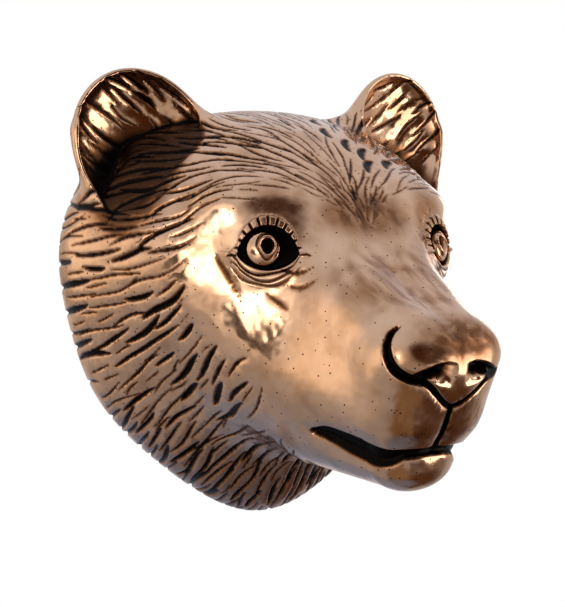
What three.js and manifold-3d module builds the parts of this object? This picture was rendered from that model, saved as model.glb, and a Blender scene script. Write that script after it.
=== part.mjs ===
// A bear's head cast in bronze as one piece, to hang flat against a wall.
// Millimetres. +Z is up, the wall is the plane y = 0, and the bear looks along -Y.
// The origin is on the flat back, where it meets the wall.
import * as THREE from "three";
import { mergeVertices } from "three/addons/utils/BufferGeometryUtils.js";
import Module from "manifold-3d";

const wasm = await Module();
wasm.setup();

// Driving dimensions. Forms with a place beside the middle are mirrored in x.
// A blend is the width over which a form flows into what is already there.
const JOWL = { share: 0.08, height: -41, reach: 36 };
const RUFF = { at: [0, -5, 3.5], radii: [99, 46, 98.5], taper: 0.0038, jowl: JOWL };
const FACE = { at: [0, -20, 19], radii: [90, 76, 82], taper: 0.003, blend: 18 };
const BRIDGE = { from: [0, -62, 31], to: [0, -139, -6], radii: [28, 16], widen: 1.3 };
const BRIDGE_EDGE = { from: [18, -70, 33], to: [11.6, -138.5, -1.2], radii: [23, 16.6], blend: 9 };
const LIPS = { from: [15, -74, -8], to: [8, -131, -22], radii: [37, 23.5], widen: 1, blend: 14 };
const JAW = { from: [0, -84, -35], to: [0, -128, -47], radii: [26, 15.2], widen: 1.4, blend: 8 };
const MUZZLE_BLEND = 24;
const NOSE = { at: [0, -143, -4], radii: [25, 17, 12], blend: 5 };
const BROW = { at: [38, -68, 58], radii: [23, 15, 10], blend: 16 };
const EYE_MOUND = { at: [39.8, -74.4, 38.4], radii: [17, 15, 15], blend: 10 };

const EAR = { at: [70.5, -21, 84.5], radii: [33, 14, 38], faces: [0.14, -0.97, 0.14], lean: [0.42, 0, 1] };
// The ear's shell is a bowl, cut off flat this far ahead of its middle. Its hollow runs on into a longer mouth.
const EAR_LIP = 3;
const EAR_BOWL = { outward: 0, forward: 1.5, up: 0, radii: [30.3, 11.5, 35.3] };
const EAR_MOUTH = { outward: 3, forward: 8, up: -13, radii: [28, 14, 44] };
const EAR_ROOTS = [
  { from: [38, -20, 90], to: [62, -22, 100], radius: 6.5 },
  { from: [84, -12, 42], to: [81, -17, 82], radius: 9 },
];
const EAR_RIM_LINE = [
  [99, -16, 92],
  [94, -24, 70],
  [80, -42, 44],
];
const EAR_RIM_RADIUS = 3.3;
const LEFT_EAR_SHIFT = [2.3, 0, 3.8];

const EYE = { at: [47.8, -78.5, 40.3], radius: 12, socket: [15, 9, 10.5], socketForward: 13.5, pupil: 2.8 };
const LID = { width: 14, rise: 9.5, drop: 7.5, thickness: 2.2 };

// Lines cut into the face, as points near the skin and the cutter's radius at every point.
const NOSTRIL_LINE = [
  [0, -155.5, -23.6],
  [6, -157, -21],
  [10, -157.5, -14.5],
  [17.5, -155.5, -9.5],
  [23, -151, -4.5],
  [22.5, -147.5, 1],
  [15.5, -144.5, 6],
];
const NOSTRIL_LINE_RADIUS = 2;
const NOSTRIL = { at: [10, -159, -8], radii: [6, 6.5, 4.5] };
const MOUTH_LINE = [
  [36, -106, -38],
  [32.5, -117, -39.5],
  [28.5, -129, -42],
  [21, -139.5, -44.5],
  [10, -146, -44.5],
  [0, -147, -44],
];
const MOUTH_RADIUS = 3.2;
const PHILTRUM_LINE = [
  [0, -156, -24],
  [0, -153.5, -31],
  [0, -148, -40],
];
const PHILTRUM_RADIUS = 1.3;

// Fur: strokes in rings about the line that the bear looks along, seen from the skin's centre.
const SKIN_CENTRE = [0, -45, 8];
const SKIN_DETAIL = 11;
const SKIN_FORWARD_BIAS = 0.4;
const FUR_RINGS = 4;
const FUR_LAST = THREE.MathUtils.degToRad(108);
const FUR_FIRST_TOP = THREE.MathUtils.degToRad(62);
const FUR_FIRST_BOTTOM = THREE.MathUtils.degToRad(82);
const FUR_PER_SIDE = 14;
const FUR_EAR_CLEARANCE = 48;
const FUR_STROKE = { length: 28, width: 4, depth: 2.6 };
const EAR_STROKES = 4;
const EAR_STROKE = { length: 20, width: 3.4, depth: 2 };
const EAR_STROKE_SPAN = 1.1;
const EAR_STROKE_RISE = 0.35;

const BRONZE = { color: "#9c7350", roughness: 0.3, metalness: 1 };

// Signed distances

const mix = THREE.MathUtils.lerp;
const clamp = THREE.MathUtils.clamp;

function blendIn(a, b, width) {
  const share = clamp(0.5 + (0.5 * (b - a)) / width, 0, 1);
  return mix(b, a, share) - width * share * (1 - share);
}

function toEllipsoid([x, y, z], { at, radii }) {
  const p = [x - at[0], y - at[1], z - at[2]];
  const k0 = Math.hypot(p[0] / radii[0], p[1] / radii[1], p[2] / radii[2]);
  const k1 = Math.hypot(p[0] / radii[0] ** 2, p[1] / radii[1] ** 2, p[2] / radii[2] ** 2);
  return (k0 * (k0 - 1)) / Math.max(k1, 1e-6);
}

// An ellipsoid that gets wider with height, and may be fuller about the height of a jowl.
function toEgg([x, y, z], egg) {
  const fuller = egg.jowl ? egg.jowl.share * Math.exp(-(((z - egg.jowl.height) / egg.jowl.reach) ** 2)) : 0;
  const widen = clamp(1 + egg.taper * (z - egg.at[2]) + fuller, 0.4, 2);
  return toEllipsoid([x / widen, y, z], egg);
}

// A rod with round ends, thicker at one end, widened in x.
function toRod([x, y, z], { from, to, radii, widen = 1 }) {
  const p = [x / widen - from[0], y - from[1], z - from[2]];
  const run = [to[0] - from[0], to[1] - from[1], to[2] - from[2]];
  const along = (p[0] * run[0] + p[1] * run[1] + p[2] * run[2]) / (run[0] ** 2 + run[1] ** 2 + run[2] ** 2);
  const t = clamp(along, 0, 1);
  return Math.hypot(p[0] - t * run[0], p[1] - t * run[1], p[2] - t * run[2]) - mix(radii[0], radii[1], t);
}

// The head without ears, eyes and carving.
function toSkin(p) {
  const side = [Math.abs(p[0]), p[1], p[2]];
  const skull = blendIn(toEgg(p, RUFF), toEgg(p, FACE), FACE.blend);
  const bridge = blendIn(toRod(p, BRIDGE), toRod(side, BRIDGE_EDGE), BRIDGE_EDGE.blend);
  let muzzle = blendIn(bridge, toRod(side, LIPS), LIPS.blend);
  muzzle = blendIn(muzzle, toRod(p, JAW), JAW.blend);
  let skin = blendIn(skull, muzzle, MUZZLE_BLEND);
  skin = blendIn(skin, toEllipsoid(p, NOSE), NOSE.blend);
  skin = blendIn(skin, toEllipsoid(side, BROW), BROW.blend);
  return blendIn(skin, toEllipsoid(side, EYE_MOUND), EYE_MOUND.blend);
}

const REACH = 260;
const HALVINGS = 30;

// Where a ray from the skin's centre meets the skin.
function castToSkin(direction) {
  const point = (t) => SKIN_CENTRE.map((c, i) => c + t * direction.getComponent(i));
  let inside = 0;
  let outside = REACH;
  for (let i = 0; i < HALVINGS; i++) {
    const middle = (inside + outside) / 2;
    if (toSkin(point(middle)) < 0) inside = middle;
    else outside = middle;
  }
  return new THREE.Vector3(...point(inside));
}

function skinNormal(p) {
  const step = 0.5;
  const slope = [0, 1, 2].map((axis) => {
    const ahead = p.toArray();
    const behind = p.toArray();
    ahead[axis] += step;
    behind[axis] -= step;
    return toSkin(ahead) - toSkin(behind);
  });
  return new THREE.Vector3(...slope).normalize();
}

// Solids

function solidOf(geometry) {
  const bare = geometry.clone();
  bare.deleteAttribute("normal");
  bare.deleteAttribute("uv");
  const merged = mergeVertices(bare, 1e-4);
  return new wasm.Manifold(
    new wasm.Mesh({
      numProp: 3,
      vertProperties: new Float32Array(merged.attributes.position.array),
      triVerts: new Uint32Array(merged.index.array),
    }),
  );
}

function geometryOf(solid) {
  const mesh = solid.getMesh();
  const geometry = new THREE.BufferGeometry();
  geometry.setAttribute("position", new THREE.BufferAttribute(mesh.vertProperties, 3));
  geometry.setIndex(new THREE.BufferAttribute(mesh.triVerts, 1));
  return geometry;
}

// A solid's geometry for the bear's left side, mirrored for its right side where side is -1.
function mirrored(geometry, side) {
  if (side > 0) return geometry;
  const flipped = mergeVertices(geometry.clone().deleteAttribute("normal").deleteAttribute("uv"));
  flipped.scale(-1, 1, 1);
  const index = flipped.index.array;
  for (let i = 0; i < index.length; i += 3) {
    [index[i + 1], index[i + 2]] = [index[i + 2], index[i + 1]];
  }
  return flipped;
}

function ball(at, radii, turn = new THREE.Matrix4(), across = 16, high = 10) {
  return new THREE.SphereGeometry(1, across, high)
    .scale(...radii)
    .applyMatrix4(turn)
    .translate(...at);
}

const TUBE_SIDES = 6;

// A tube of six sides along a smooth line through the points.
function tube(points, radius, steps) {
  const line = new THREE.CatmullRomCurve3(points.map((p) => new THREE.Vector3(...p)));
  const section = new THREE.Shape();
  section.absarc(0, 0, radius, 0, 2 * Math.PI);
  return new THREE.ExtrudeGeometry(section, { extrudePath: line, steps, curveSegments: TUBE_SIDES / 2 });
}

// The points of a line, moved on to the skin.
function onSkin(points) {
  const centre = new THREE.Vector3(...SKIN_CENTRE);
  return points.map((p) => castToSkin(new THREE.Vector3(...p).sub(centre).normalize()).toArray());
}

// The points of a line on one side, carried on over the middle to the other side.
function bothSides(points) {
  const other = points.slice(0, -1).map(([x, y, z]) => [-x, y, z]);
  return [...points, ...other.reverse()];
}

// An even sphere of vertices, pushed out to the skin. Most of them go to the face.
function skinGeometry() {
  const sphere = new THREE.IcosahedronGeometry(1, SKIN_DETAIL);
  sphere.deleteAttribute("normal");
  sphere.deleteAttribute("uv");
  const skin = mergeVertices(sphere, 1e-4);
  const place = skin.getAttribute("position");
  const direction = new THREE.Vector3();
  for (let i = 0; i < place.count; i++) {
    direction.fromBufferAttribute(place, i);
    direction.y -= SKIN_FORWARD_BIAS;
    place.setXYZ(i, ...castToSkin(direction.normalize()).toArray());
  }
  return skin;
}

// The ear's own axes: outward from the head, the way it faces, and up.
function earAxes() {
  const forward = new THREE.Vector3(...EAR.faces).normalize();
  const across = new THREE.Vector3().crossVectors(forward, new THREE.Vector3(...EAR.lean)).normalize();
  const up = new THREE.Vector3().crossVectors(across, forward);
  return { across, forward, up, turn: new THREE.Matrix4().makeBasis(across, forward, up) };
}

function hollowCentre(hollow) {
  const { across, forward, up } = earAxes();
  const outward = across.clone().multiplyScalar(Math.sign(across.x));
  return new THREE.Vector3(...EAR.at)
    .addScaledVector(outward, hollow.outward)
    .addScaledVector(forward, hollow.forward)
    .addScaledVector(up, hollow.up);
}

// What is cut off the ear ahead of its lip, so that the shell is a bowl.
function aheadOfLip(turn) {
  const reach = 2 * EAR.radii[2];
  return new THREE.BoxGeometry(reach, reach, reach)
    .translate(0, EAR_LIP + reach / 2, 0)
    .applyMatrix4(turn)
    .translate(...EAR.at);
}

function rod({ from, to, radius }) {
  const run = new THREE.Vector3(...to).sub(new THREE.Vector3(...from));
  const upright = new THREE.Vector3(0, 1, 0);
  return new THREE.CapsuleGeometry(radius, run.length(), 3, 10)
    .applyQuaternion(new THREE.Quaternion().setFromUnitVectors(upright, run.clone().normalize()))
    .translate(...from.map((c, i) => (c + to[i]) / 2));
}

// A bowl with a rim, its thick roots, and the rim's end, which runs on down the side of the head.
// The hollow is open below, where the skin of the head is its floor.
function earSolid(side) {
  const { turn } = earAxes();
  const placed = (geometry) => {
    if (side > 0) geometry.translate(...LEFT_EAR_SHIFT);
    return solidOf(mirrored(geometry, side));
  };
  const shell = placed(ball(EAR.at, EAR.radii, turn)).subtract(placed(aheadOfLip(turn)));
  const roots = [tube(EAR_RIM_LINE, EAR_RIM_RADIUS, 6), ...EAR_ROOTS.map(rod)];
  const ear = roots.map(placed).reduce((whole, solid) => whole.add(solid), shell);
  const hollowBall = (hollow) => ball(hollowCentre(hollow).toArray(), hollow.radii, turn, 14, 8);
  const hollows = [EAR_BOWL, EAR_MOUTH].map(hollowBall);
  return hollows.map(placed).reduce((whole, solid) => whole.subtract(solid), ear);
}

// An eyeball in its socket, with the upper and lower lid around it and a drilled pupil.
function lidLine(rise) {
  const [x, y, z] = EYE.at;
  const stations = [-1, -0.6, 0, 0.6, 1];
  return stations.map((s) => {
    const bow = 1 - s * s;
    return [x + s * LID.width, y - EYE.radius * (0.62 + 0.3 * bow) + 4 * s, z + rise * bow];
  });
}

function carveEye(head, side) {
  const [x, y, z] = EYE.at;
  const socket = ball([x + 3, y - EYE.socketForward, z], EYE.socket, undefined, 12, 8);
  const eyeball = ball([x, y, z], [EYE.radius, EYE.radius, EYE.radius], undefined, 12, 8);
  const pupil = ball([x + 1, y - EYE.radius, z], [EYE.pupil, EYE.pupil, EYE.pupil], undefined, 8, 6);
  let carved = head.subtract(solidOf(mirrored(socket, side)));
  carved = carved.add(solidOf(mirrored(eyeball, side)));
  for (const rise of [LID.rise, -LID.drop]) {
    carved = carved.add(solidOf(mirrored(tube(lidLine(rise), LID.thickness, 8), side)));
  }
  return carved.subtract(solidOf(mirrored(pupil, side)));
}

function carveNoseAndMouth(head) {
  let carved = head.subtract(solidOf(tube(bothSides(onSkin(MOUTH_LINE)), MOUTH_RADIUS, 24)));
  carved = carved.subtract(solidOf(tube(onSkin(PHILTRUM_LINE), PHILTRUM_RADIUS, 4)));
  for (const side of [1, -1]) {
    carved = carved.subtract(solidOf(mirrored(tube(onSkin(NOSTRIL_LINE), NOSTRIL_LINE_RADIUS, 14), side)));
    carved = carved.subtract(solidOf(mirrored(ball(NOSTRIL.at, NOSTRIL.radii, undefined, 10, 8), side)));
  }
  return carved;
}

// One carved stroke: a stretched octahedron, half sunk in the surface.
function strokeGeometry(at, along, normal, { length, width, depth }) {
  const across = new THREE.Vector3().crossVectors(normal, along).normalize();
  const straight = new THREE.Vector3().crossVectors(across, normal);
  const turn = new THREE.Matrix4().makeBasis(straight, across, normal);
  return new THREE.OctahedronGeometry(1)
    .scale(length / 2, width / 2, depth)
    .applyMatrix4(turn)
    .translate(at.x, at.y, at.z);
}

// A direction from the skin's centre: turn about the line of sight, angle away from it.
function lookDirection(turn, angle) {
  return new THREE.Vector3(
    Math.sin(angle) * Math.cos(turn),
    -Math.cos(angle),
    Math.sin(angle) * Math.sin(turn),
  );
}

// A steady spread of numbers from 0 to 1, so that no two strokes are alike.
function spread(n) {
  return (n * 0.618034) % 1;
}

function furStrokes() {
  const strokes = [];
  for (let ring = 0; ring < FUR_RINGS; ring++) {
    for (let i = 0; i < FUR_PER_SIDE; i++) {
      const n = ring * FUR_PER_SIDE + i;
      const turn = Math.PI * ((i + 0.5 + 0.5 * (ring % 2)) / FUR_PER_SIDE - 0.5);
      const first = mix(FUR_FIRST_BOTTOM, FUR_FIRST_TOP, 0.5 + 0.5 * Math.sin(turn));
      const angle = mix(first, FUR_LAST, (ring + 0.4 * spread(n)) / (FUR_RINGS - 1 + 0.4));
      const at = castToSkin(lookDirection(turn, angle));
      if (at.distanceTo(new THREE.Vector3(...EAR.at)) < FUR_EAR_CLEARANCE) continue;
      const next = castToSkin(lookDirection(turn + 0.03 * (spread(3 * n) - 0.5), angle + 0.05));
      const scale = 0.8 + 0.4 * spread(2 * n);
      strokes.push({ at, along: next.sub(at), scale });
    }
  }
  return strokes;
}

function carveFur(head) {
  const cutters = [];
  for (const { at, along, scale } of furStrokes()) {
    const size = { ...FUR_STROKE, length: FUR_STROKE.length * scale };
    const stroke = strokeGeometry(at, along, skinNormal(at), size);
    for (const side of [1, -1]) cutters.push(solidOf(mirrored(stroke, side)));
  }
  return cutters.reduce((carved, cutter) => carved.subtract(cutter), head);
}

// Strokes that run up the floor of each ear's bowl, side by side.
function carveEars(head) {
  const { turn, up } = earAxes();
  const centre = hollowCentre(EAR_BOWL);
  const radii = new THREE.Vector3(...EAR_BOWL.radii);
  let carved = head;
  for (let i = 0; i < EAR_STROKES; i++) {
    const across = EAR_STROKE_SPAN * (i / (EAR_STROKES - 1) - 0.5);
    const back = -Math.sqrt(1 - across ** 2 - EAR_STROKE_RISE ** 2);
    const floor = new THREE.Vector3(across, back, EAR_STROKE_RISE);
    const at = floor.clone().multiply(radii).applyMatrix4(turn).add(centre);
    const normal = floor.clone().divide(radii).applyMatrix4(turn).normalize().negate();
    const stroke = strokeGeometry(at, up, normal, EAR_STROKE);
    carved = carved.subtract(solidOf(mirrored(stroke, -1)));
    carved = carved.subtract(solidOf(stroke.translate(...LEFT_EAR_SHIFT)));
  }
  return carved;
}

function wallCut() {
  return solidOf(new THREE.BoxGeometry(2 * REACH, REACH, 2 * REACH).translate(0, -REACH / 2, 0));
}

function bearHead() {
  let head = carveFur(solidOf(skinGeometry()));
  for (const side of [1, -1]) {
    head = head.add(earSolid(side));
    head = carveEye(head, side);
  }
  head = carveNoseAndMouth(head);
  head = carveEars(head);
  return geometryOf(head.intersect(wallCut()));
}

const sculpture = new THREE.Group();
const mesh = new THREE.Mesh(bearHead(), new THREE.MeshStandardMaterial(BRONZE));
mesh.name = "bear_head";
sculpture.add(mesh);

export default sculpture;
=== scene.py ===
import bpy
import math
import numpy as np
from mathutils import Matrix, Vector, kdtree


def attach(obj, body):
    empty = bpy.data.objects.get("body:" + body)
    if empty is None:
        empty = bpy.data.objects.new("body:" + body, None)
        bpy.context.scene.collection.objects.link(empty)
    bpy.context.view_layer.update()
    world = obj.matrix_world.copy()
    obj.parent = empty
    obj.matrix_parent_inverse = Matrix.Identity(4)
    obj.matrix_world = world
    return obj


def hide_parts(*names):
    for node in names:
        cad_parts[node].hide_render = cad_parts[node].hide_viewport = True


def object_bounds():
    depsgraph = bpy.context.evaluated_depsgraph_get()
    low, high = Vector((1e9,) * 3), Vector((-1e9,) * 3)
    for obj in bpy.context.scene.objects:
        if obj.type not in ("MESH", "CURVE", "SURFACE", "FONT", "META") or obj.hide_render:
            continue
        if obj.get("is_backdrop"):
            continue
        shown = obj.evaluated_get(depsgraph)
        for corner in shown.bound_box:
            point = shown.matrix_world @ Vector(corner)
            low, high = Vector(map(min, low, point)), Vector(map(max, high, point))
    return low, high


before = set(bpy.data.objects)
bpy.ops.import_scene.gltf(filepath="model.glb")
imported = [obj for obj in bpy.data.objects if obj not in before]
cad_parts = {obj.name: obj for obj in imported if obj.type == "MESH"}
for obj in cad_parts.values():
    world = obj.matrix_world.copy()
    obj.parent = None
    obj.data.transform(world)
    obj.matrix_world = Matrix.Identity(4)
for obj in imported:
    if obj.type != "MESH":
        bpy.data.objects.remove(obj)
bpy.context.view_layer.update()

mm = 0.001  # every size below is in millimetres, in the frame of the CAD part


# blended clay forms: distance to the surface at many points at once, negative inside
def blendIn(a, b, width):
    share = np.clip(0.5 + 0.5 * (b - a) / width, 0, 1)
    return b + (a - b) * share - width * share * (1 - share)


def carveOut(a, b, width):
    return -blendIn(-a, b, width)


def size(v):
    return np.sqrt((v * v).sum(-1))


def unit(v):
    v = np.asarray(v, np.float64)
    return v / np.linalg.norm(v)


def smooth(edge0, edge1, v):
    t = np.clip((v - edge0) / (edge1 - edge0), 0, 1)
    return t * t * (3 - 2 * t)


def ellipsoid(p, at, radii, axes=None):
    q = p - np.array(at, np.float32)
    if axes is not None:
        q = q @ np.array(axes, np.float32).T
    r = np.array(radii, np.float32)
    k0 = size(q / r)
    return k0 * (k0 - 1) / np.maximum(size(q / (r * r)), 1e-6)


def egg(p, at, radii, taper, jowl=0):
    q = p - np.array(at, np.float32)
    widen = 1 + taper * q[..., 2] + jowl * np.exp(-((p[..., 2] - skull["jowlAt"]) / skull["jowlReach"]) ** 2)
    q[..., 0] /= np.clip(widen, 0.4, 2)
    return ellipsoid(q, (0, 0, 0), radii)


def rod(p, start, end, radii, widen=1):
    q = p - np.array(start, np.float32)
    if widen != 1:
        q[..., 0] /= widen
    run = np.array(end, np.float32) - np.array(start, np.float32)
    t = np.clip(q @ run / (run @ run), 0, 1)
    return size(q - t[..., None] * run) - (radii[0] + (radii[1] - radii[0]) * t)


skull = {
    "ruffAt": (0, -5, 3.5), "ruffRadii": (99, 46, 98.5), "ruffTaper": 0.0038,
    "jowl": 0.08, "jowlAt": -41, "jowlReach": 36,  # the ruff is fuller low on the cheeks
    "faceAt": (0, -20, 19), "faceRadii": (90, 76, 82), "faceTaper": 0.003, "faceBlend": 18,
    "browAt": (38, -68, 58), "browRadii": (23, 15, 10), "browBlend": 16,
    "eyeMound": ((39.8, -74.4, 38.4), (17, 15, 15)), "eyeBlend": 10,
    "wallRound": 1.5, "wallBand": 0.4, "wallEdge": 2.5,  # the flat back: its round edge, and its reach
}
muzzle = {
    "bridge": ((0, -62, 31), (0, -139, -6), (28, 16), 1.3),
    "bridgeEdge": ((18, -70, 33), (11.6, -138.5, -1.2), (23, 16.6)), "bridgeBlend": 9,
    "lips": ((15, -74, -8), (8, -131, -22), (37, 23.5)), "lipsBlend": 14,
    "jaw": ((0, -84, -35), (0, -128, -47), (26, 15.2), 1.4), "jawBlend": 8,
    "blend": 24,
    "bridgePatina": ((0, -112, 22), (30, 34, 18)), "bridgeShare": 0.5,  # brown left on the bridge and the lip
    "lipPatina": ((0, -150, -29), (24, 14, 11)), "lipShare": 0.6,
    "noseAt": (0, -143, -4), "noseRadii": (25, 17, 12), "noseBlend": 15,
    "wingAt": (18.5, -149, -1), "wingRadii": (7.5, 7.5, 7), "wingBlend": 8,
}
ear = {
    "at": (70.5, -21, 84.5), "radii": (33, 14, 38), "faces": (0.14, -0.97, 0.14), "lean": (0.42, 0, 1),
    "lip": 3, "lipRound": 3,  # the shell is a bowl, cut off this far ahead of its middle
    "bowlShift": (0, 1.5, 0), "bowlRadii": (30.3, 11.5, 35.3), "cupBlend": 5,
    "mouthShift": (3, 8, -13), "mouthRadii": (28, 14, 44),
    "innerRoot": ((38, -20, 90), (62, -22, 100), (6, 7)), "innerBlend": 10,
    "backRoot": ((84, -12, 42), (81, -15, 82), (10, 9)), "backBlend": 12,
    "rim": ((99, -16, 92), (94, -24, 70), (81, -42, 45)), "rimRadii": (3.5, 3.2, 1.5),
    "rimBlend": 5, "headBlend": 10,
    "cupBite": 5, "biteBlend": 2, "cupRound": 2.4,  # how deep the hollow bites into the head behind it
    "leftShift": (4, 0, 6.5),  # the left ear stands a little higher and wider
}

earForward = unit(ear["faces"])
earOut = unit(np.cross(ear["lean"], earForward))
earOut = earOut * np.sign(earOut[0])
earUp = np.cross(earOut, earForward)
earUp = earUp * np.sign(earUp[2])
earAxes = np.array([earOut, earForward, earUp])
bowlAt = np.array(ear["at"]) + np.array(ear["bowlShift"]) @ earAxes
mouthAt = np.array(ear["at"]) + np.array(ear["mouthShift"]) @ earAxes


def skinField(p):
    side = np.abs(p[..., :1]) * (1, 0, 0) + p * np.array((0, 1, 1), np.float32)
    side = side.astype(np.float32)
    d = blendIn(egg(p, skull["ruffAt"], skull["ruffRadii"], skull["ruffTaper"], skull["jowl"]),
                egg(p, skull["faceAt"], skull["faceRadii"], skull["faceTaper"]), skull["faceBlend"])
    bridge = blendIn(rod(p, *muzzle["bridge"]), rod(side, *muzzle["bridgeEdge"]), muzzle["bridgeBlend"])
    snout = blendIn(bridge, rod(side, *muzzle["lips"]), muzzle["lipsBlend"])
    snout = blendIn(snout, rod(p, *muzzle["jaw"]), muzzle["jawBlend"])
    d = blendIn(d, snout, muzzle["blend"])
    d = blendIn(d, ellipsoid(p, muzzle["noseAt"], muzzle["noseRadii"]), muzzle["noseBlend"])
    d = blendIn(d, ellipsoid(side, muzzle["wingAt"], muzzle["wingRadii"]), muzzle["wingBlend"])
    d = blendIn(d, ellipsoid(side, skull["browAt"], skull["browRadii"]), skull["browBlend"])
    return blendIn(d, ellipsoid(side, *skull["eyeMound"]), skull["eyeBlend"])


def earPlace(p):
    q = p.copy()
    q[..., 0] = np.abs(q[..., 0])
    share = (p[..., 0] > 0) * np.clip((p[..., 2] - 50) / 60, 0, 1)
    return q - share[..., None].astype(np.float32) * np.array(ear["leftShift"], np.float32)


# a point's places outward and forward from the middle of the ear
def earOffset(q):
    offset = q - np.array(ear["at"], np.float32)
    return offset @ earOut.astype(np.float32), offset @ earForward.astype(np.float32)


# the hollow of the ear: its bowl, and the longer mouth that runs down beside the head
def cupField(p):
    q = earPlace(p)
    return blendIn(ellipsoid(q, bowlAt, ear["bowlRadii"], earAxes),
                   ellipsoid(q, mouthAt, ear["mouthRadii"], earAxes), ear["cupBlend"])


def headField(p):
    skin = skinField(p)
    q = earPlace(p)
    outward, ahead = earOffset(q)
    shell = carveOut(ellipsoid(q, ear["at"], ear["radii"], earAxes), ear["lip"] - ahead, ear["lipRound"])
    shell = blendIn(shell, rod(q, *ear["innerRoot"]), ear["innerBlend"])
    rim = rod(q, ear["rim"][0], ear["rim"][1], ear["rimRadii"][:2])
    rim = np.minimum(rim, rod(q, ear["rim"][1], ear["rim"][2], ear["rimRadii"][1:]))
    shell = blendIn(shell, rim, ear["rimBlend"])
    shell = blendIn(shell, rod(q, *ear["backRoot"]), ear["backBlend"])
    d = blendIn(skin, shell, ear["headBlend"])
    bite = ear["cupBite"] * smooth(4, -6, ahead) * smooth(0, 22, outward)  # deep only at the outer back
    d = carveOut(d, carveOut(cupField(p), skin + bite, ear["biteBlend"]), ear["cupRound"])
    return carveOut(d, -p[..., 1], skull["wallRound"])  # flat back against the wall


def slope(field, p, step=0.3):
    axes = np.eye(3, dtype=np.float32) * step
    return np.stack([field(p + a) - field(p - a) for a in axes], -1) / (2 * step)


def settle(field, p, rounds=3):
    for _ in range(rounds):
        g = slope(field, p)
        p = p - (field(p) / np.maximum((g * g).sum(-1), 0.1))[..., None] * g
    return p.astype(np.float32)


# a net of four-sided faces over the zero of the field, one point in every cell that it crosses
def netOver(field, low, high, step, block=8):
    cells = (np.ceil((high - low) / step / block).astype(int)) * block
    grid = np.empty(cells + 1, np.float32)
    starts = np.stack(np.meshgrid(*[np.arange(0, c, block) for c in cells], indexing="ij"), -1).reshape(-1, 3)
    middles = (low + (starts + block / 2) * step).astype(np.float32)
    rough = field(middles)
    span = np.arange(block + 1)
    local = np.stack(np.meshgrid(span, span, span, indexing="ij"), -1).reshape(-1, 3)
    near = np.abs(rough) < 1.6 * block * step
    for (i, j, k), v in zip(starts[~near], rough[~near]):
        grid[i:i + block + 1, j:j + block + 1, k:k + block + 1] = v
    closeBlocks = starts[near]
    for part in np.array_split(closeBlocks, max(1, len(closeBlocks) // 600)):
        at = part[:, None] + local
        values = field((low + at.reshape(-1, 3) * step).astype(np.float32)).reshape(len(part), -1)
        for (i, j, k), v in zip(part, values):
            grid[i:i + block + 1, j:j + block + 1, k:k + block + 1] = v.reshape([block + 1] * 3)
    inside = grid < 0
    count = np.zeros(cells, np.int8)
    corners = [(i, j, k) for i in (0, 1) for j in (0, 1) for k in (0, 1)]
    for i, j, k in corners:
        count += inside[i:cells[0] + i, j:cells[1] + j, k:cells[2] + k]
    active = (count > 0) & (count < 8)
    number = np.full(cells, -1, np.int64)
    base = np.argwhere(active)
    number[active] = np.arange(len(base))
    total = np.zeros((len(base), 3))
    hits = np.zeros(len(base))
    for a in corners:
        for axis in range(3):
            if a[axis]:
                continue
            b = list(a)
            b[axis] = 1
            va = grid[tuple((base + a).T)]
            vb = grid[tuple((base + b).T)]
            cross = (va < 0) != (vb < 0)
            t = np.where(cross, va / np.where(cross, va - vb, 1), 0)
            point = np.array(a) + t[:, None] * (np.array(b) - a)
            total += cross[:, None] * point
            hits += cross
    points = low + (base + total / hits[:, None]) * step
    quads = []
    for axis in range(3):
        u, v = [k for k in range(3) if k != axis]
        lowSide = [slice(1, c) for c in cells]
        lowSide[axis] = slice(0, cells[axis])
        highSide = list(lowSide)
        highSide[axis] = slice(1, cells[axis] + 1)
        first, second = inside[tuple(lowSide)], inside[tuple(highSide)]
        at = np.argwhere(first != second)
        start = np.ones(3, int)
        start[axis] = 0
        cell = at + start
        stepU, stepV = np.eye(3, dtype=int)[u], np.eye(3, dtype=int)[v]
        ring = [cell - stepU - stepV, cell - stepV, cell, cell - stepU]
        quad = np.stack([number[tuple(c.T)] for c in ring], -1)
        turned = first[tuple(at.T)] == (axis == 1)
        quad[turned] = quad[turned][:, ::-1]
        quads.append(quad)
    return points, np.concatenate(quads)


def smoothLine(points, spans=6):
    p = np.array(points, np.float64)
    padded = np.concatenate([2 * p[:1] - p[1:2], p, 2 * p[-1:] - p[-2:-1]])
    out = []
    for i in range(len(p) - 1):
        a, b, c, d = padded[i:i + 4]
        for t in np.arange(spans) / spans:
            out.append(0.5 * (2 * b + (c - a) * t + (2 * a - 5 * b + 4 * c - d) * t ** 2
                              + (3 * b - a - 3 * c + d) * t ** 3))
    return np.array(out + [p[-1]])


# how far inside a carved line each point is: 1 on the line, 0 at its edge and beyond
def nearLine(p, points, widths):
    line = smoothLine(points)
    line = settle(skinField, line.astype(np.float32))
    width = np.interp(np.linspace(0, 1, len(line)), np.linspace(0, 1, len(widths)), widths)
    best = np.full(len(p), 9.0)
    for i in range(len(line) - 1):
        run = line[i + 1] - line[i]
        t = np.clip((p - line[i]) @ run / (run @ run), 0, 1)
        gap = size(p - line[i] - t[:, None] * run)
        best = np.minimum(best, gap / (width[i] + (width[i + 1] - width[i]) * t))
    return np.clip(1 - best, 0, 1)


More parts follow.
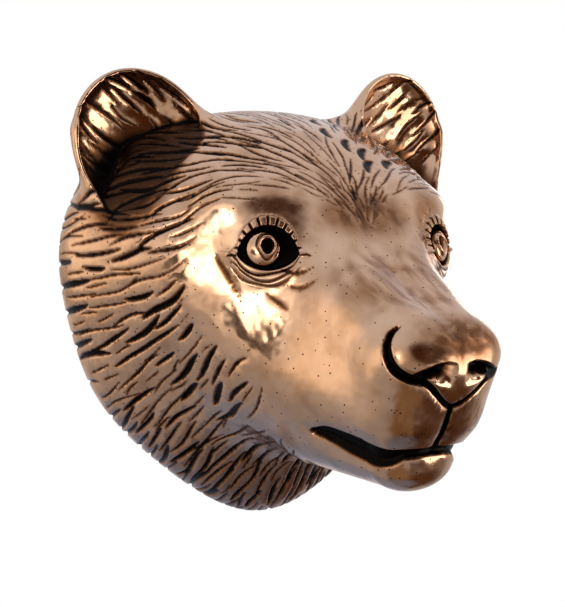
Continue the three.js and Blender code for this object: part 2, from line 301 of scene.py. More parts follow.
nose = {
    "slit": ((0, -156, -23.6), (5, -157, -20.8), (9.3, -157, -16.6), (12.8, -156.5, -12.6),
             (16, -155.5, -10.2), (19.8, -153.5, -8.6), (22.9, -150.5, -5), (22.9, -148.6, -1),
             (20.4, -146.8, 2.2), (17.6, -145.4, 4)),
    "slitWidths": (1.4, 1.4, 1.4, 1.6, 2.1, 2.5, 2.7, 2.4, 1.9, 0.9), "slitDepth": 2.8,
    "arch": ((19.5, -153.5, -8.7), (16.6, -155.5, -7.6), (13.8, -156.5, -6.6), (10.6, -158, -5.6),
             (6.8, -159, -5.4)),
    "archWidths": (2.2, 2.4, 2.2, 1.7, 0.9), "archDepth": 2.6,
    "archAcross": (2.5, 7.4, 11.3, 14.3, 17.5), "archUp": (-4.8, -4.1, -4.7, -6.5, -8.6),
    "patina": ((2, -150, 2), (23, 14, 10)), "patinaShare": 0.85,
    "nostrilDepth": 6, "nostrilAcross": (2.5, 10, 17.5), "nostrilFall": (12, 9, 2.5),
    "philtrum": ((0, -155.5, -24), (0, -153, -31), (0, -147, -41)), "philtrumWidths": (1.8, 1.8),
    "philtrumDepth": 1.9,
}
mouth = {
    "line": ((33.5, -105, -38), (31, -113.5, -38.2), (26.5, -122.5, -41), (22.5, -132, -44),
             (18.5, -138.3, -45), (13.7, -142.8, -43.5), (7, -145, -43.2), (0, -147, -43.5)),
    "widths": (2.2, 5, 6.4, 6.4, 5, 3.4, 2.9, 2.6), "depth": 3.6, "gum": 1.2,
}
eye = {
    "at": (46.5, -86, 39.5), "looks": (0.5, -0.86, 0.08),
    "halfWidth": 12.9, "middle": -2.0, "corner": -2.4, "upper": 12.4, "lower": 6.6,
    "iris": 7.2, "pupilAt": (-1.9, 1.2), "pupil": (2.7, 3.3),
    "lashes": 18, "lidBand": 4.6, "lidRise": 1.4, "lashDepth": 0.9, "smear": 0.55,
    "creases": (2.3, 4.7, 7.0), "rollRise": 1.5, "gapDepth": 4.5, "pupilDepth": 2.6,
    "folds": (((20, -3.5), (14.5, -12), (8.5, -24), 2.0), ((-1.5, -19), (-6.5, -23), (-11, -27), 1.5),
              ((-8, -9), (-15, -10.5), (-24, -6.5), 1.3), ((-9, -15.5), (-17, -16.5), (-25, -11), 1.2)),
}
fur = {
    "frown": (0, -95, 54), "backward": 0.5, "droop": 0.5, "spread": 1.2,
    "bareFace": ((38, -84, 26), (40, 42, 38)), "bareMuzzle": ((0, -122, -22), (52, 62, 46)),
    "cheek": {"across": 5.9, "run": 15, "length": (13, 33), "width": (1.2, 3.9), "depth": 1.8},
    "brow": {"across": 3.3, "run": 14, "length": (16, 32), "width": (1.0, 1.6), "depth": 0.8},
    "neck": {"across": 4.5, "run": 14, "length": (16, 34), "width": (1.6, 3.8), "depth": 2.0},
    "ear": {"across": 4.6, "run": 13, "length": (13, 25), "width": (1.4, 3.0), "depth": 1.6},
    "leftEar": {"across": 5.6, "run": 14, "length": (14, 28), "width": (1.4, 2.6), "depth": 1.5},
    "earSide": {"across": 4.4, "run": 17, "length": (22, 34), "width": (1.6, 3.4), "depth": 1.7},
    "between": {"across": 4.6, "run": 12, "length": (8, 16), "width": (1.0, 1.5), "depth": 0.8},
    "frowning": {"across": 2.0, "run": 8, "length": (8, 16), "width": (0.9, 1.5), "depth": 0.7},
    "tries": 24000, "seed": 11,
    "moons": ((12.4, -37, 99), (8.6, -52, 93), (13.8, -61, 87), (20, -65, 83), (18, -73, 77), (32, -68, 78)),
    "frownPatina": ((2, -93, 54), (22, 17, 9)), "frownShare": 0.7, "neckPatina": 0.3,
    "tilt": 0.3, "bend": 0.28, "wave": 0.9, "burr": 0.16,  # how strokes vary, and their raised edges
    "moon": {"length": 13, "width": 5.0, "depth": 1.3}, "moonRoom": 3.2,
}


def mirrored(p):
    return np.abs(p) * (1, 0, 0) + p * (0, 1, 1)


# uneven patches a few millimetres across, 0 to 1, for patina that was not rubbed off evenly
def mottle(a, b):
    return 0.5 + 0.5 * np.sin(1.7 * a + 1.6 * np.sin(0.9 * b)) * np.sin(1.3 * b + 1.9 * np.sin(0.7 * a + 1))


def furShare(p):
    bare = np.minimum(ellipsoid(mirrored(p).astype(np.float32), *fur["bareFace"]),
                      ellipsoid(p.astype(np.float32), *fur["bareMuzzle"]))
    return smooth(-2, 9, bare)


# the fur lies away from the frown, back round the head, and droops past the outer corner of the eye
def lieOf(p, normal, onEar):
    q = mirrored(p)
    way = q - fur["frown"]
    far = size(way)
    way[:, 0] *= 1 + fur["spread"] * smooth(45, 72, q[:, 2])
    way = way / np.maximum(size(way), 26)[:, None]
    way[:, 1] += fur["backward"]
    way[:, 2] += 0.5 * smooth(30, 6, far)  # beside the frown the fur stands up
    droop = smooth(32, 66, q[:, 0]) * (1 - smooth(72, 98, q[:, 0])) * smooth(88, 66, q[:, 2])
    way[:, 2] -= fur["droop"] * droop * smooth(-92, -72, q[:, 1])
    way = np.where(onEar[:, None], 0.85 * earUp + 0.5 * earOut, way)
    way[:, 0] *= np.where(p[:, 0] < 0, -1, 1)
    way = way - (way * normal).sum(-1)[:, None] * normal
    return way / np.maximum(size(way), 1e-6)[:, None]


# stroke places: tried in random order, kept where no other stroke is too near
def placeStrokes(p, normal, share, onEar, byEar, strokes):
    chance = np.random.default_rng(fur["seed"])
    belowFrown = (p[:, 1] < -80) & (p[:, 2] < 53)
    able = np.flatnonzero((share > 0.25) & (p[:, 1] < -3) & ~belowFrown)
    able = chance.permutation(able)[:fur["tries"]]
    lie = lieOf(p[able], normal[able], onEar[able])
    across = np.cross(normal[able], lie)
    q = mirrored(p[able])
    onBrow = 0.85 * smooth(50, 64, q[:, 2]) * smooth(84, 66, q[:, 0])
    low = smooth(-28, -56, q[:, 2])
    knit = smooth(34, 20, size(q - fur["frown"]))
    taken = np.empty((2 * len(able), 3))
    taken[:len(strokes)] = [s["at"] for s in strokes]
    room = np.zeros(2 * len(able))
    room[:len(strokes)] = fur["moonRoom"]
    rounds = [(i, v, False) for i, v in enumerate(able)] + [(i, v, True) for i, v in enumerate(able)]
    for i, v, second in rounds:
        kinds = (fur["cheek"], fur["brow"], onBrow[i])
        if second and (onEar[v] or onBrow[i] > 0.4):
            continue
        if second:  # thin strokes in what is left between the bold ones
            kinds = (fur["between"], fur["between"], 0)
        elif onEar[v]:
            kinds = (fur["ear"], fur["leftEar"], float(p[v, 0] > 0))
        elif byEar[v] > 0.1:
            kinds = (fur["brow"], fur["earSide"], byEar[v])
        elif low[i] > 0:
            kinds = (fur["cheek"], fur["neck"], low[i])
        elif knit[i] > 0:
            kinds = (fur["brow"], fur["frowning"], knit[i])
        kind, other, part = kinds
        pick = {k: np.array(kind[k]) * (1 - part) + np.array(other[k]) * part for k in kind}
        offset = taken[:len(strokes)] - p[v]
        clear = room[:len(strokes)]
        endGap = offset @ lie[i] / (pick["run"] + clear)
        sideGap = offset @ across[i] / (pick["across"] + clear)
        gap = endGap ** 2 + sideGap ** 2
        if gap.min() < 1:
            continue
        taken[len(strokes)] = p[v]
        luck = chance.random(6)
        tilt = fur["tilt"] * (luck[0] - 0.5)
        along = lie[i] * math.cos(tilt) + across[i] * math.sin(tilt)
        small = 0.35 + 0.65 * share[v]
        strokes.append({
            "at": p[v], "along": along, "across": np.cross(normal[v], along), "normal": normal[v],
            "half": 0.5 * small * (pick["length"][0] + luck[1] * (pick["length"][1] - pick["length"][0])),
            "wide": 0.5 * small * (pick["width"][0] + luck[2] ** 2 * (pick["width"][1] - pick["width"][0])),
            "depth": pick["depth"] * (0.5 + 0.5 * luck[2]) * small,
            "bend": fur["bend"] * (luck[3] - 0.5), "phase": 6.3 * luck[4], "wave": fur["wave"] * luck[5],
            "onEar": onEar[v],
        })
    return strokes


# a few broad crescent cuts by the left ear, at listed places
def moonStrokes(p, normal):
    strokes = []
    for at in fur["moons"]:
        near = np.argmin(size(p - np.array(at)))
        along = lieOf(p[near:near + 1], normal[near:near + 1], np.array([False]))[0]
        strokes.append({
            "at": p[near], "along": along, "across": np.cross(normal[near], along), "normal": normal[near],
            "half": fur["moon"]["length"] / 2, "wide": fur["moon"]["width"] / 2,
            "depth": fur["moon"]["depth"], "bend": 0.3, "phase": 0, "wave": 0, "onEar": False,
        })
    return strokes


# each stroke is a lens-shaped cut, black with patina, with a low burr along its edges
def cutStrokes(p, strokes, onEar):
    tree = kdtree.KDTree(len(p))
    for i, v in enumerate(p):
        tree.insert(v, i)
    tree.balance()
    depth = np.zeros(len(p))
    burr = np.zeros(len(p))
    dark = np.zeros(len(p))
    for s in strokes:
        found = np.array([i for _, i, _ in tree.find_range(s["at"], s["half"] + 2)], int)
        offset = p[found] - s["at"]
        a = offset @ s["along"]
        taper = 1 - (a / s["half"]) ** 2
        c = offset @ s["across"] + s["bend"] * (a * a / s["half"] - s["half"] / 3)
        c = c + s["wave"] * np.sin(a / 4.5 + s["phase"])
        near = (taper > 0) & (np.abs(offset @ s["normal"]) < 7) & (onEar[found] == s["onEar"])
        wide = s["wide"] * np.sqrt(np.clip(taper, 0.02, 1))
        here = np.clip(1 - (c / wide) ** 2, 0, 1) * near
        edge = np.exp(-((np.abs(c) - wide - 0.5) / 0.5) ** 2) * near * np.clip(taper * 2, 0, 1)
        depth[found] = np.maximum(depth[found], here * s["depth"] * (0.5 + 0.5 * np.clip(taper, 0, 1)))
        burr[found] = np.maximum(burr[found], fur["burr"] * s["depth"] * edge)
        dark[found] = np.maximum(dark[found], smooth(0.05, 0.5, here))
    return depth - burr * (depth < 0.05), dark


def carveEyes(p, dark):
    side = np.sign(p[:, 0])
    q = mirrored(p) - eye["at"]
    look = unit(eye["looks"])
    out = unit(np.cross((0, 0, 1), look)) * -1
    out = out * np.sign(out[0])
    up = np.cross(out, look)
    up = up * np.sign(up[2])
    s, t, g = q @ out, q @ up, q @ look
    zone = (np.hypot(s, t) < 34) & (np.abs(g) < 16)
    s, t = s[zone], t[zone]
    x = (s - eye["middle"]) / eye["halfWidth"]
    bow = np.clip(1 - x * x, 0, 1)
    outside = np.maximum(np.abs(x) - 1, 0) * eye["halfWidth"]
    upper = eye["corner"] + eye["upper"] * bow ** 0.6
    lower = eye["corner"] - eye["lower"] * bow ** 0.75
    opening = np.minimum(upper - t, t - lower) - outside
    r = np.hypot(s, t)
    rise = np.zeros(len(s))
    shade = np.zeros(len(s))

    # upper lid: a band of lash-like cells under a soft hollow
    above = t - upper + outside
    beyond = smooth(eye["lidBand"] - 0.8, eye["lidBand"] + 0.6, above)
    lid = smooth(-0.4, 0.4, above) * (1 - beyond) * (t > -3)
    rise += eye["lidRise"] * lid
    around = np.arctan2(s - eye["middle"], t + 4)
    lash = smooth(0.4, 0.85, np.cos(around * eye["lashes"] * 1.4)) * lid
    rise -= eye["lashDepth"] * lash
    shade = np.maximum(shade, lash)
    reach = np.where(s < 0, 2.6, 1.7)  # the smear of patina above the lid runs on towards the frown
    hollow = np.exp(-((above - eye["lidBand"] - 5) / 8) ** 2)
    hollow = hollow * smooth(reach, 0.3, np.abs(x)) * smooth(-2, 4, t)
    rise -= 0.2 * hollow * smooth(eye["lidBand"] - 1, eye["lidBand"] + 2.5, above)
    shade = np.maximum(shade, eye["smear"] * hollow * smooth(16, -6, s) * smooth(-0.4, 0.6, mottle(s, t)))

    # lower lid: puffed, with fine creases, and longer folds of dark patina around it
    below = lower - t + outside
    roll = smooth(-0.4, 0.5, below) * (1 - smooth(4, 9, below)) * (t < -1) * smooth(24, 8, np.abs(s))
    rise += eye["rollRise"] * roll
    for k, at in enumerate(eye["creases"]):
        bend = at + 0.05 * s + 0.5 * np.sin(s / 3 + 2 * k)
        fade = smooth(-20 + 2 * k, -8, s) * smooth(18 - 1.5 * k, 11, s)
        fold = np.exp(-((below - bend) / 0.5) ** 2) * fade * (t < -1)
        rise -= (1.0 - 0.1 * k) * fold
        shade = np.maximum(shade, smooth(0.2, 0.7, fold) * (1 - 0.12 * k))
    here = np.stack([s, t, 0 * s], -1)
    for *path, wide in eye["folds"]:
        line = smoothLine([(a, b, 0) for a, b in path])
        thick = wide * np.sin(np.linspace(0.15, 1, len(line)) * math.pi)
        gap = np.min([size(here - at) / max(w, 0.15) for at, w in zip(line, thick)], axis=0)
        fold = np.exp(-gap ** 2)
        rise -= 0.25 * fold
        shade = np.maximum(shade, 0.85 * smooth(0.35, 0.7, fold + 0.5 * mottle(s + 5, t) - 0.25))

    # eyeball: a black gap, the iris dome, and a pear-shaped pupil with a bright lip
    gap = smooth(-0.3, 0.6, opening) * smooth(eye["iris"] - 0.2, eye["iris"] + 0.7, r)
    rise = rise * (1 - smooth(-0.3, 0.6, opening)) - eye["gapDepth"] * gap
    shade = np.maximum(shade, smooth(0, 0.4, gap))
    dome = (1 - smooth(eye["iris"] - 0.2, eye["iris"] + 0.4, r)) * smooth(-0.5, 0.3, opening)
    rise += dome * (1.6 - 1.8 * (r / eye["iris"]) ** 2)
    ps, pt = s - eye["pupilAt"][0], t - eye["pupilAt"][1]
    narrow = 1 + 0.12 * np.clip(-pt, 0, 4)
    pr = np.hypot(ps * narrow / eye["pupil"][0], pt / eye["pupil"][1])
    hole = smooth(1.12, 0.8, pr) * dome
    lip = np.exp(-((pr - 1.3) / 0.16) ** 2) * dome
    ring = np.exp(-((pr - 1.72) / 0.14) ** 2) * dome
    rise += 0.5 * lip - eye["pupilDepth"] * hole - 0.6 * ring
    shade = np.where(dome > 0.5, np.maximum(hole, 0.8 * ring), shade)

    move = np.zeros((len(p), 3))
    worldLook = np.outer(np.ones(zone.sum()), look)
    worldLook[:, 0] *= side[zone]
    move[zone] = worldLook * rise[:, None]
    dark[zone] = np.maximum(dark[zone], shade)
    return move, dark


def carve(p, normal):
    p = p.astype(np.float64)
    side = mirrored(p).astype(np.float32)
    skin = skinField(p.astype(np.float32))
    cup = cupField(p.astype(np.float32))
    wall = (slope(cupField, p.astype(np.float32)) * normal).sum(-1) < -0.4
    inEar = (np.abs(cup) < 1.8) & (skin > -ear["cupBite"] - 1) & wall
    byEar = smooth(26, 6, cup) * (np.abs(skin) < 2) * (side[:, 2] > 40) * ~inEar
    outward, ahead = earOffset(earPlace(p.astype(np.float32)))
    edge = ear["lip"] - ahead  # depth below the rim of the ear
    outer = smooth(-10, 14, outward)  # the crease is widest and blackest on the ear's outer side
    share = furShare(p) * (1 - smooth(1.5, 6, skin))
    share = np.where(inEar, smooth(0.3, 1.8, edge) * smooth(-3, 2, skin), share)
    strokes = placeStrokes(p, normal, share, inEar, byEar, moonStrokes(p, normal))
    print("fur strokes", len(strokes))
    depth, dark = cutStrokes(p, strokes, inEar)
    depth = np.where(inEar, depth * smooth(0.2, 1.6, edge), depth)
    dark = np.where(inEar, np.maximum(dark * smooth(0.2, 1.2, edge), smooth(3 + 9 * outer, 0.5, skin)), dark)
    crease = smooth(3 + 9 * outer, 0, cup) * (np.abs(skin) < 2) * (side[:, 2] > 44) * ~inEar
    dark = np.maximum(dark, 0.85 * crease)

    # thin patina on the frown, the nose, the bridge and the lip
    uneven = 0.4 + 0.6 * mottle(0.7 * p[:, 0], 0.7 * p[:, 1])
    cloudy = smooth(0.2, 0.8, mottle(0.3 * p[:, 0] + 1, 0.3 * p[:, 1]))
    speckled = smooth(0.2, 0.8, mottle(0.8 * p[:, 0], 0.8 * p[:, 2]))
    for patch, soft, strength, pattern in ((fur["frownPatina"], (8, -4), fur["frownShare"], uneven),
                                           (nose["patina"], (6, -4), nose["patinaShare"], uneven),
                                           (muzzle["bridgePatina"], (8, -6), muzzle["bridgeShare"], cloudy),
                                           (muzzle["lipPatina"], (5, -5), muzzle["lipShare"], speckled)):
        gap = ellipsoid(p.astype(np.float32), *patch)
        dark = np.maximum(dark, strength * pattern * smooth(*soft, gap))
    dark = np.maximum(dark, fur["neckPatina"] * smooth(-30, -75, p[:, 2]) * furShare(p))

    front = p[:, 1] < -85
    keep = size(side - np.array(eye["at"])) < closeWork["lids"]
    for points, widths, deep in ((nose["slit"], nose["slitWidths"], nose["slitDepth"]),
                                 (nose["arch"], nose["archWidths"], nose["archDepth"]),
                                 (nose["philtrum"], nose["philtrumWidths"], nose["philtrumDepth"]),
                                 (mouth["line"], mouth["widths"], mouth["depth"])):
        near = nearLine(side[front].astype(np.float64), points, widths)
        cut = deep * smooth(0, 0.9, near)
        if deep == mouth["depth"]:
            cut = cut - mouth["gum"] * smooth(0.55, 0.9, near)
        depth[front] = np.maximum(depth[front], cut)
        dark[front] = np.maximum(dark[front], smooth(0, 0.2, near))
        keep[front] |= near > 0
    # nostril: deepest under its arch, rising slowly towards the middle of the nose
    under = np.interp(side[:, 0], nose["archAcross"], nose["archUp"]) - side[:, 2]
    fall = np.interp(side[:, 0], nose["nostrilAcross"], nose["nostrilFall"])
    hole = smooth(-0.5, 0.7, under) * (1 - smooth(0.3, 1, under / fall)) * (p[:, 1] < -148)
    hole = hole * smooth(1.5, 10, side[:, 0]) * smooth(18.5, 16, side[:, 0])
    depth = np.maximum(depth, nose["nostrilDepth"] * hole)
    dark = np.maximum(dark, smooth(0.05, 0.85, hole))

    eyeMove, dark = carveEyes(p, dark)
    # the wall side stays bare, and the faces along its edge are kept so that no patina runs in over it
    onWall = p[:, 1] > -skull["wallBand"]
    dark = np.where(onWall, 0, dark)
    keep = keep | (hole > 0.02) | (onWall & (skin > -skull["wallEdge"]))
    return p - normal * depth[:, None] + eyeMove, dark, keep


# the head is one clay form that flows together, so it is made as a net over a blended field,
# which joined primitives can't give; then it is carved and thinned to what the casting needs
closeWork = {"eye": 24, "nose": ((0, -152, -12), 30), "lids": 17}  # reach of the finer faces and of the lids
step = 0.7
low = np.array((-118.0, -172.0, -104.0))
high = np.array((118.0, 6.0, 134.0))
points, quads = netOver(headField, low, high, step)
points = settle(headField, points.astype(np.float32))
print("clay net", len(points), "points", len(quads), "faces")

bpy.ops.object.select_all(action="DESELECT")
mesh = bpy.data.meshes.new("bronzeBearHead")
mesh.from_pydata((points * mm).tolist(), [], quads.tolist())
head = bpy.data.objects.new("bronzeBearHead", mesh)
bpy.context.collection.objects.link(head)
head.select_set(True)
bpy.context.view_layer.objects.active = head


def readPoints(piece):
    co = np.empty(len(piece.data.vertices) * 3, np.float32)
    piece.data.vertices.foreach_get("co", co)
    return co.reshape(-1, 3) / mm


# finer faces round the eyes and on the nose, for lids and nostrils
bpy.ops.object.mode_set(mode="EDIT")
bpy.ops.mesh.select_mode(type="FACE")
bpy.ops.mesh.select_all(action="DESELECT")
bpy.ops.object.mode_set(mode="OBJECT")
centres = points[quads].mean(1)
eyeGap = size(mirrored(centres) - eye["at"])
noseGap = size(centres - closeWork["nose"][0])
pick = (eyeGap < closeWork["eye"]) | (noseGap < closeWork["nose"][1])
head.data.polygons.foreach_set("select", pick)
bpy.ops.object.mode_set(mode="EDIT")
bpy.ops.mesh.subdivide(number_cuts=1)
bpy.ops.mesh.select_all(action="SELECT")
bpy.ops.mesh.normals_make_consistent(inside=False)
bpy.ops.object.mode_set(mode="OBJECT")
points = settle(headField, readPoints(head), 2)
print("fine net", len(points))

normal = slope(headField, points)
normal = normal / np.maximum(size(normal), 1e-6)[:, None]
carved, dark, keep = carve(points, normal)
edges = np.empty(2 * len(head.data.edges), np.int32)
head.data.edges.foreach_get("vertices", edges)
starts, ends = edges.reshape(-1, 2).T
around = np.bincount(edges, minlength=len(points))


# half of each value from the points around it, which takes the saw-teeth off the edges of the cuts
def evened(values):
    before = np.bincount(starts, values[ends], len(values))
    after = np.bincount(ends, values[starts], len(values))
    return 0.5 * values + 0.5 * (before + after) / around


moved = np.stack([evened(column) for column in (carved - points).T], -1)
carved = points + moved
dark = evened(dark)
head.data.vertices.foreach_set("co", (carved * mm).astype(np.float32).ravel())
head.data.update()

# what the finish follows: patina left in the cuts
patina = head.data.attributes.new("patina", "FLOAT", "POINT")
patina.data.foreach_set("value", dark.astype(np.float32))

limit = 190000
triangles = sum(len(f.vertices) - 2 for f in head.data.polygons)
if triangles > limit:
    plain = head.vertex_groups.new(name="plainSkin")  # lids, nose, lips and the back's edge keep their faces
    plain.add(np.flatnonzero(~keep).tolist(), 1, "REPLACE")
    thin = head.modifiers.new("thin", "DECIMATE")
    thin.vertex_group = plain.name
    thin.ratio = limit / triangles
    bpy.ops.object.modifier_apply(modifier=thin.name)
bpy.ops.object.shade_smooth()
# the flat back is shaded flat, so that the rim's shading doesn't run in over it
centres = np.empty(3 * len(head.data.polygons), np.float32)
facing = np.empty_like(centres)
head.data.polygons.foreach_get("center", centres)
head.data.polygons.foreach_get("normal", facing)
backDepth = 0.3
flatBack = (centres[1::3] > -backDepth * mm) & (facing[1::3] > 0.95)
head.data.polygons.foreach_set("use_smooth", ~flatBack)
print("carved head", triangles, "->", sum(len(f.vertices) - 2 for f in head.data.polygons), "triangles")


def linear(code):  # sRGB hex to linear colour
    parts = [int(code[i:i + 2], 16) / 255 for i in (1, 3, 5)]
    return [c / 12.92 if c <= 0.04045 else ((c + 0.055) / 1.055) ** 2.4 for c in parts] + [1]


def addNode(tree, kind, settings=None, links=None):
    node = tree.nodes.new(kind)
    for key, value in (settings or {}).items():
        if isinstance(key, str) and hasattr(node, key):
            setattr(node, key, value)
        else:
            node.inputs[key].default_value = value
    for key, source in (links or {}).items():
        tree.links.new(source, node.inputs[key])
    return node


# polished cast bronze: warm mirror-like skin that ripples a little, patina left in every cut, brown where
# it is thin and black where it is thick, brown smudges and small casting pits
bronze = {
    "metal": "#dcb395", "warm": "#c2946a", "glaze": "#7a4722", "patina": "#0f0b09",
    "polish": 0.14, "dullPatina": 0.42,
    "pitSpacing": 3.4, "ripple": 15, "rippleDepth": 0.9, "smudge": 19, "smudgeShare": 0.32,
}
material = bpy.data.materials.new("polishedCastBronze")
material.use_nodes = True
tree = material.node_tree
tree.nodes.clear()
place = addNode(tree, "ShaderNodeTexCoord")
cuts = addNode(tree, "ShaderNodeAttribute", {"attribute_name": "patina"})

pits = addNode(tree, "ShaderNodeTexVoronoi", {"Scale": 1 / (bronze["pitSpacing"] * mm)},
               {"Vector": place.outputs["Object"]})
# pits about 0.8 mm across
pitMask = addNode(tree, "ShaderNodeMapRange",
                  {"From Min": 0.09, "From Max": 0.14, "To Min": 0.9, "To Max": 0},
                  {"Value": pits.outputs["Distance"]})

ripple = addNode(tree, "ShaderNodeTexNoise", {"Scale": 1 / (bronze["ripple"] * mm), "Detail": 2},
                 {"Vector": place.outputs["Object"]})
darkest = addNode(tree, "ShaderNodeMath", {"operation": "MAXIMUM"},
                  {0: cuts.outputs["Fac"], 1: pitMask.outputs["Result"]})
smudge = addNode(tree, "ShaderNodeTexNoise", {"Scale": 1 / (bronze["smudge"] * mm), "Detail": 5},
                 {"Vector": place.outputs["Object"]})
smudgeMask = addNode(tree, "ShaderNodeMapRange",
                     {"From Min": 0.5, "From Max": 0.75, "To Max": bronze["smudgeShare"]},
                     {"Value": smudge.outputs["Fac"]})
darker = addNode(tree, "ShaderNodeMath", {"operation": "MAXIMUM"},
                 {0: darkest.outputs[0], 1: smudgeMask.outputs["Result"]})
warmth = addNode(tree, "ShaderNodeMix",
                 {"data_type": "RGBA", 6: linear(bronze["metal"]), 7: linear(bronze["warm"])},
                 {0: ripple.outputs["Fac"]})
glazeShare = addNode(tree, "ShaderNodeMapRange", {"From Max": 0.55, "To Max": 0.9},
                     {"Value": darker.outputs[0]})
blackShare = addNode(tree, "ShaderNodeMapRange", {"From Min": 0.45, "From Max": 0.95},
                     {"Value": darker.outputs[0]})
glazed = addNode(tree, "ShaderNodeMix", {"data_type": "RGBA", 7: linear(bronze["glaze"])},
                 {0: glazeShare.outputs["Result"], 6: warmth.outputs[2]})
tone = addNode(tree, "ShaderNodeMix", {"data_type": "RGBA", 7: linear(bronze["patina"])},
               {0: blackShare.outputs["Result"], 6: glazed.outputs[2]})
gloss = addNode(tree, "ShaderNodeMapRange", {"To Min": bronze["polish"], "To Max": bronze["dullPatina"]},
                {"Value": darker.outputs[0]})
rippleBump = addNode(tree, "ShaderNodeBump", {"Strength": 1, "Distance": bronze["rippleDepth"] * mm},
                     {"Height": ripple.outputs["Fac"]})
shader = addNode(tree, "ShaderNodeBsdfPrincipled", {"Metallic": 1},
                 {"Base Color": tone.outputs[2], "Roughness": gloss.outputs["Result"],
                  "Normal": rippleBump.outputs["Normal"]})
addNode(tree, "ShaderNodeOutputMaterial", None, {"Surface": shader.outputs["BSDF"]})
head.data.materials.clear()
head.data.materials.append(material)

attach(head, "root")
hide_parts("bear_head")
print("bronze done")

# a pale floor, in metres, far enough below the hanging head to be out of the photo's frame
paper = {"size": 2.2, "at": (0, -0.1, -1.6), "colour": "#f4f4f4", "roughness": 0.9}
bpy.ops.mesh.primitive_plane_add(size=paper["size"], location=paper["at"])
floor = bpy.context.object
floor.name = "paleFloor"
floorPaint = bpy.data.materials.new("palePaper")
floorPaint.use_nodes = True
floorShader = floorPaint.node_tree.nodes["Principled BSDF"]
floorShader.inputs["Base Color"].default_value = linear(paper["colour"])
floorShader.inputs["Roughness"].default_value = paper["roughness"]
floor.data.materials.append(floorPaint)
floor.visible_glossy = False  # the metal mirrors the room, not the paper
floor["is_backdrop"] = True

# white surround for the camera, and a room for the metal to mirror: cool above, brown before the face
room = {"top": "#e2ecff", "side": "#dad6d2", "bottom": "#a6aab8", "strength": 1.12}
roomSides = {  # direction from the head, how far the patch reaches as cosines, its colour and strength
    "frontSide": ((0.12, -0.93, 0.28), 0.72, 0.92, "#4a2a12", 1),
    "under": ((0.35, -0.25, -0.90), 0.68, 0.93, "#5a4230", 1),
    "neckUnder": ((0.12, 0.0, -0.99), 0.92, 0.985, "#7482a0", 1),
    "backUnder": ((0.05, 0.60, -0.80), 0.86, 0.97, "#8a9abc", 1),
    "floorSide": ((-0.25, -0.50, -0.83), 0.88, 0.98, "#8a7660", 1),
    "leftGlow": ((-0.88, -0.47, 0.02), 0.87, 0.985, "#ffffff", 1.7),
    "muzzleGlow": ((-0.87, 0.32, 0.12), 0.80, 0.98, "#fff6ea", 1.4),
    "darkCard": ((-0.95, -0.30, -0.06), 0.972, 0.99, "#33241a", 1),
}
world = bpy.data.worlds.new("studio")
bpy.context.scene.world = world
world.use_nodes = True
air = world.node_tree
air.nodes.clear()
direction = addNode(air, "ShaderNodeTexCoord")
height = addNode(air, "ShaderNodeSeparateXYZ", None, {0: direction.outputs["Generated"]})
level = addNode(air, "ShaderNodeMapRange", {"From Min": -1, "From Max": 1}, {"Value": height.outputs["Z"]})
ramp = addNode(air, "ShaderNodeValToRGB", None, {"Fac": level.outputs["Result"]})
ramp.color_ramp.elements[0].color = linear(room["bottom"])
ramp.color_ramp.elements[0].position = 0.15
ramp.color_ramp.elements[1].color = linear(room["top"])
ramp.color_ramp.elements[1].position = 0.95
middle = ramp.color_ramp.elements.new(0.45)
middle.color = linear(room["side"])
shade = ramp.outputs["Color"]
for toward, outer, inner, colour, gain in roomSides.values():
    facing = addNode(air, "ShaderNodeVectorMath", {"operation": "DOT_PRODUCT", 1: toward},
                     {0: direction.outputs["Generated"]})
    reach = addNode(air, "ShaderNodeMapRange",
                    {"interpolation_type": "SMOOTHSTEP", "From Min": outer, "From Max": inner},
                    {"Value": facing.outputs["Value"]})
    mixed = addNode(air, "ShaderNodeMix", {"data_type": "RGBA", 7: [gain * c for c in linear(colour)]},
                    {0: reach.outputs["Result"], 6: shade})
    shade = mixed.outputs[2]
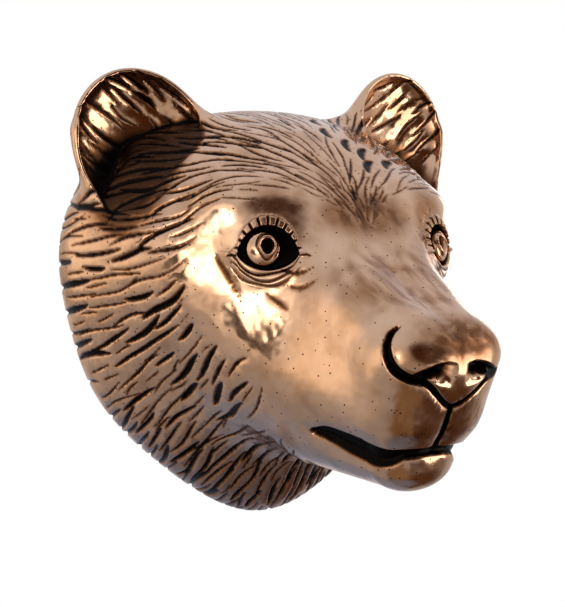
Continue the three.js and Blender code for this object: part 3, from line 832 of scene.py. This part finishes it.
roomLight = addNode(air, "ShaderNodeBackground", {"Strength": room["strength"]}, {"Color": shade})
white = addNode(air, "ShaderNodeBackground", {"Color": (1, 1, 1, 1), "Strength": 1})
rays = addNode(air, "ShaderNodeLightPath")
choose = addNode(air, "ShaderNodeMixShader", None,
                 {0: rays.outputs["Is Camera Ray"], 1: roomLight.outputs[0], 2: white.outputs[0]})
addNode(air, "ShaderNodeOutputWorld", None, {"Surface": choose.outputs[0]})
bpy.context.scene.view_settings.view_transform = "Standard"

# soft boxes: direction from the head, distance and size in metres, power in watts
softBoxes = {
    "leftBox": ((-0.88, -0.47, 0.02), 1.2, 0.34, 1.3),
    "rimBox": ((0.84, 0.52, 0.10), 1.2, 0.45, 0.7),
    "rightBox": ((0.68, -0.71, -0.12), 1.3, 0.85, 7.0),
    "noseBox": ((0.74, -0.48, 0.46), 1.3, 0.22, 0.6),
}
aim = Vector((0, -0.07, 0.02))  # the middle of the head, in metres
for name, (toward, far, wide, power) in softBoxes.items():
    lamp = bpy.data.lights.new(name, "AREA")
    lamp.shape = "SQUARE"
    lamp.size = wide
    lamp.energy = power
    box = bpy.data.objects.new(name, lamp)
    bpy.context.collection.objects.link(box)
    box.visible_camera = False
    box.location = aim + Vector(toward).normalized() * far
    box.rotation_euler = (aim - box.location).to_track_quat("-Z", "Y").to_euler()
print("studio lit")

# focal length and width are in pixels of the photo, the sensor is in millimetres
camera = {
    "at": (-322.2, -542.9, 53.7), "forward": (0.5286, 0.8460, -0.0698),
    "focal": 1250, "imageWidth": 565, "sensor": 36,
}
camData = bpy.data.cameras.new("photoCamera")
camData.sensor_fit = "HORIZONTAL"
camData.sensor_width = camera["sensor"]
camData.lens = camera["sensor"] * camera["focal"] / camera["imageWidth"]
cam = bpy.data.objects.new("photoCamera", camData)
bpy.context.collection.objects.link(cam)
cam.location = Vector(camera["at"]) * mm
cam.rotation_euler = Vector(camera["forward"]).to_track_quat("-Z", "Y").to_euler()
bpy.context.scene.camera = cam

low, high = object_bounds()
